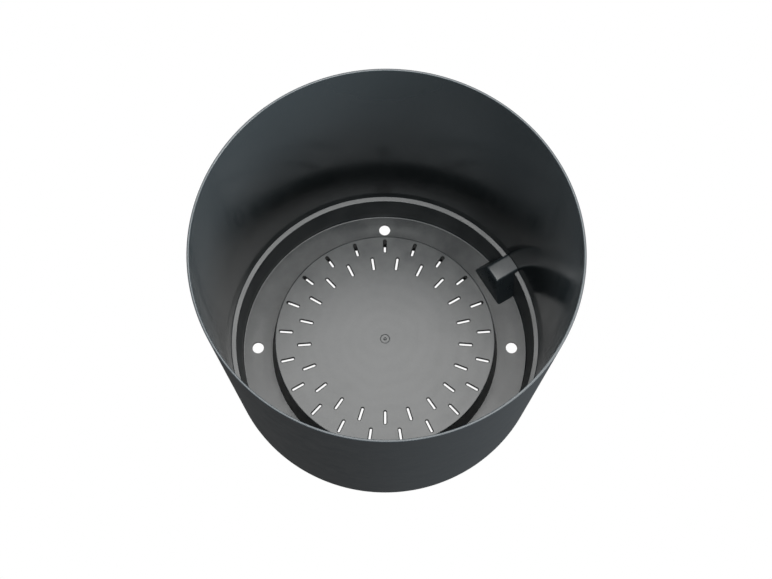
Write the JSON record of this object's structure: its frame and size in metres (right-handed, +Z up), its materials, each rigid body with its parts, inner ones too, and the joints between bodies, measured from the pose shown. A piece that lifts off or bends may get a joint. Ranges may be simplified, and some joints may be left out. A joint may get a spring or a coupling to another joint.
{
  "type": "plant pot",
  "caption": "Round tapered plastic plant pot with a recessed foot, drain holes, a lift-out raised slotted strainer and a small block hooked on its ledge.",
  "frame": {"origin": "centre of the surface the pot stands on", "axes": "+Z up along the pot's axis; the drain holes lie on +X, +Y, -X and -Y; the block is between +X and +Y"},
  "size_m": [0.3, 0.3, 0.2615],
  "materials": {
    "wall_plastic": "semi-gloss moulded polypropylene",
    "pan_plastic": "satin moulded polypropylene",
    "strainer_plastic": "satin moulded polypropylene",
    "block_plastic": "satin moulded polypropylene"
  },
  "bodies": {
    "pot": {"outer_wall": "wall_plastic", "base_pan": "pan_plastic"},
    "strainer": {"strainer_cap": "strainer_plastic"},
    "block": {"ledge_block": "block_plastic"}
  },
  "joints": [
    {"name": "strainer_lift", "type": "slide", "parent": "pot", "child": "strainer", "axis": [0, 0, 1], "range_m": [0, 0.28]},
    {"name": "block_lift", "type": "slide", "parent": "pot", "child": "block", "axis": [0, 0, 1], "range_m": [0, 0.28]}
  ]
}
